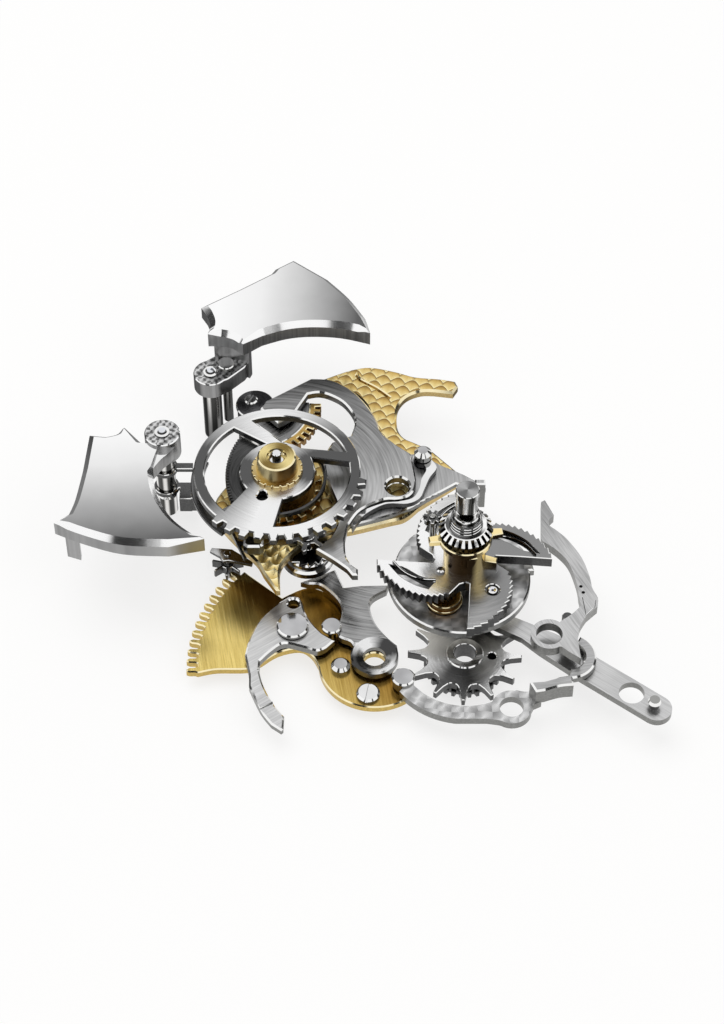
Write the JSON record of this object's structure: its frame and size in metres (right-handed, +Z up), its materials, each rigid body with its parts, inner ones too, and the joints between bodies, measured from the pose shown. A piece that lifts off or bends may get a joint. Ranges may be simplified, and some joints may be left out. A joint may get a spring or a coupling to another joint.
{
  "type": "striking wristwatch works",
  "caption": "Striking works of a wristwatch: two gong hammers, windowed strike wheel, toothed rack, snail cams, star wheel and levers under gold and steel bridges.",
  "frame": {"origin": "axis of the centre cannon, on the flat plane that all the feet rest on", "axes": "+X to the picture's right, along the works' longest side; +Y away from the camera, towards the rear hammer; +Z up out of the works, along every pivot axis, towards the hands"},
  "size_m": [0.024, 0.0216, 0.0075],
  "materials": {
    "satin_steel": "straight and curved brushing with polished bevels",
    "grained_steel": "circular graining with polished bevels",
    "polished_steel": "mirror polish",
    "snail_steel": "fine brushing, darker at the edges",
    "dark_steel": "dark polished",
    "engraved_gold": "engraved in rows of scales, polished bevels",
    "brushed_gold": "brushed",
    "polished_gold": "polished",
    "jewel": "polished ring jewel"
  },
  "bodies": {
    "frame": {"gold_bridge": "engraved_gold", "grained_plate": "grained_steel", "steel_bridge": "satin_steel", "rear_post": "dark_steel", "rear_post_cap": "dark_steel", "rear_post_screw": "dark_steel", "support_pillars": "dark_steel", "locking_pawl": "dark_steel", "banking_stud": "dark_steel", "release_pin": "polished_steel"},
    "left_hammer": {"left_hammer": "polished_steel", "left_hammer_post": "polished_steel", "left_hammer_pivot": "polished_steel", "left_hammer_pallet": "dark_steel"},
    "rear_hammer": {"rear_hammer": "polished_steel", "rear_hammer_post": "polished_steel", "rear_hammer_pivot": "polished_steel", "rear_hammer_pin": "polished_steel"},
    "strike_wheel": {"strike_wheel": "satin_steel", "strike_wheel_arbor": "polished_steel", "hub_cap": "polished_gold", "hub_ring": "polished_gold", "fine_ratchet": "dark_steel", "train_wheel": "polished_gold", "ring_sector": "satin_steel"},
    "hour_rack": {"hour_rack": "dark_steel", "hour_rack_teeth": "polished_gold"},
    "locking_drum": {"locking_drum": "dark_steel", "drum_arbor": "dark_steel", "drum_ratchet": "dark_steel"},
    "strike_rack": {"strike_rack": "brushed_gold", "rack_screw": "polished_steel", "rack_banking_pins": "polished_steel", "hook_lever_pin": "polished_steel"},
    "hook_lever": {"hook_lever": "satin_steel"},
    "rack_lever": {"rack_lever": "satin_steel"},
    "rack_pinion": {"rack_pinion": "dark_steel", "rack_pinion_arbor": "dark_steel", "pinion_finger": "dark_steel"},
    "centre_stack": {"cannon": "polished_steel", "cannon_rings": "polished_steel", "crown_wheel": "polished_steel", "gold_sleeve": "polished_gold", "minute_snail": "snail_steel", "snail_springs": "dark_steel", "snail_screw": "polished_steel", "snail_jewel": "jewel", "quarter_snail": "grained_steel", "setting_stud": "dark_steel"},
    "gold_roller": {"gold_roller": "polished_gold"},
    "setting_pinion": {"setting_pinion": "dark_steel"},
    "star_wheel": {"star_wheel": "satin_steel", "star_hub": "polished_steel", "lower_wheel": "dark_steel"},
    "jumper_lever": {"jumper_lever": "grained_steel", "jumper_pin": "polished_steel"},
    "ratchet_lever": {"ratchet_lever": "satin_steel"},
    "strap_lever": {"strap_lever": "satin_steel", "strap_pin": "polished_steel"},
    "release_lever": {"release_lever": "polished_steel"}
  },
  "joints": [
    {"name": "left_hammer_swing", "type": "hinge", "parent": "frame", "child": "left_hammer", "pos_m": [-0.0121, 0.00537, 0.0041], "axis": [0, 0, 1], "range_deg": [-1, 9]},
    {"name": "rear_hammer_swing", "type": "hinge", "parent": "frame", "child": "rear_hammer", "pos_m": [-0.01035, 0.00966, 0.0032], "axis": [0, 0, 1], "range_deg": [-8, 1]},
    {"name": "strike_wheel_turn", "type": "hinge", "parent": "frame", "child": "strike_wheel", "pos_m": [-0.00745, 0.00393, 0.00395], "axis": [0, 0, 1], "continuous": true},
    {"name": "hour_rack_swing", "type": "hinge", "parent": "frame", "child": "hour_rack", "pos_m": [-0.0085, 0.00866, 0.0025], "axis": [0, 0, 1], "range_deg": [-4, 4]},
    {"name": "locking_drum_turn", "type": "hinge", "parent": "frame", "child": "locking_drum", "pos_m": [-0.00622, 0.0015, 0.0018], "axis": [0, 0, 1], "continuous": true},
    {"name": "strike_rack_swing", "type": "hinge", "parent": "frame", "child": "strike_rack", "pos_m": [-0.00355, -0.0032, 0.00065], "axis": [0, 0, 1], "range_deg": [-30, 0]},
    {"name": "hook_lever_swing", "type": "hinge", "parent": "strike_rack", "child": "hook_lever", "pos_m": [-0.00678, -0.00188, 0.00112], "axis": [0, 0, 1], "range_deg": [-5, 5]},
    {"name": "rack_lever_swing", "type": "hinge", "parent": "strike_rack", "child": "rack_lever", "pos_m": [-0.00355, -0.0032, 0.00112], "axis": [0, 0, 1], "range_deg": [-4, 0]},
    {"name": "rack_pinion_turn", "type": "hinge", "parent": "frame", "child": "rack_pinion", "pos_m": [-0.00949, 0.00176, 0.0006], "axis": [0, 0, 1], "range_deg": [0, 415]},
    {"name": "centre_stack_turn", "type": "hinge", "parent": "frame", "child": "centre_stack", "pos_m": [0, 0, 0.003], "axis": [0, 0, 1], "continuous": true},
    {"name": "gold_roller_turn", "type": "hinge", "parent": "centre_stack", "child": "gold_roller", "pos_m": [-0.0008, -0.00134, 0.0025], "axis": [0, 0, 1], "continuous": true},
    {"name": "setting_pinion_turn", "type": "hinge", "parent": "centre_stack", "child": "setting_pinion", "pos_m": [-0.00128, 0.00066, 0.00495], "axis": [0, 0, 1], "continuous": true},
    {"name": "star_wheel_turn", "type": "hinge", "parent": "frame", "child": "star_wheel", "pos_m": [0, -0.0031, 0.001], "axis": [0, 0, 1], "continuous": true},
    {"name": "jumper_lever_swing", "type": "hinge", "parent": "frame", "child": "jumper_lever", "pos_m": [0.00174, -0.0057, 0.0011], "axis": [0, 0, 1], "range_deg": [0, 4]},
    {"name": "ratchet_lever_swing", "type": "hinge", "parent": "frame", "child": "ratchet_lever", "pos_m": [0.00325, -0.0031, 0.00225], "axis": [0, 0, 1], "range_deg": [-6, 4]},
    {"name": "strap_lever_swing", "type": "hinge", "parent": "frame", "child": "strap_lever", "pos_m": [0.00637, -0.00531, 0.00146], "axis": [0, 0, 1], "range_deg": [-2, 2]},
    {"name": "release_lever_swing", "type": "hinge", "parent": "frame", "child": "release_lever", "pos_m": [-0.00156, 0.00545, 0.003], "axis": [0, 0, 1], "range_deg": [0, 3]}
  ],
  "couplings": [
    {"joint": "rack_pinion_turn", "follows": "strike_rack_swing", "ratio": -13.788}
  ]
}
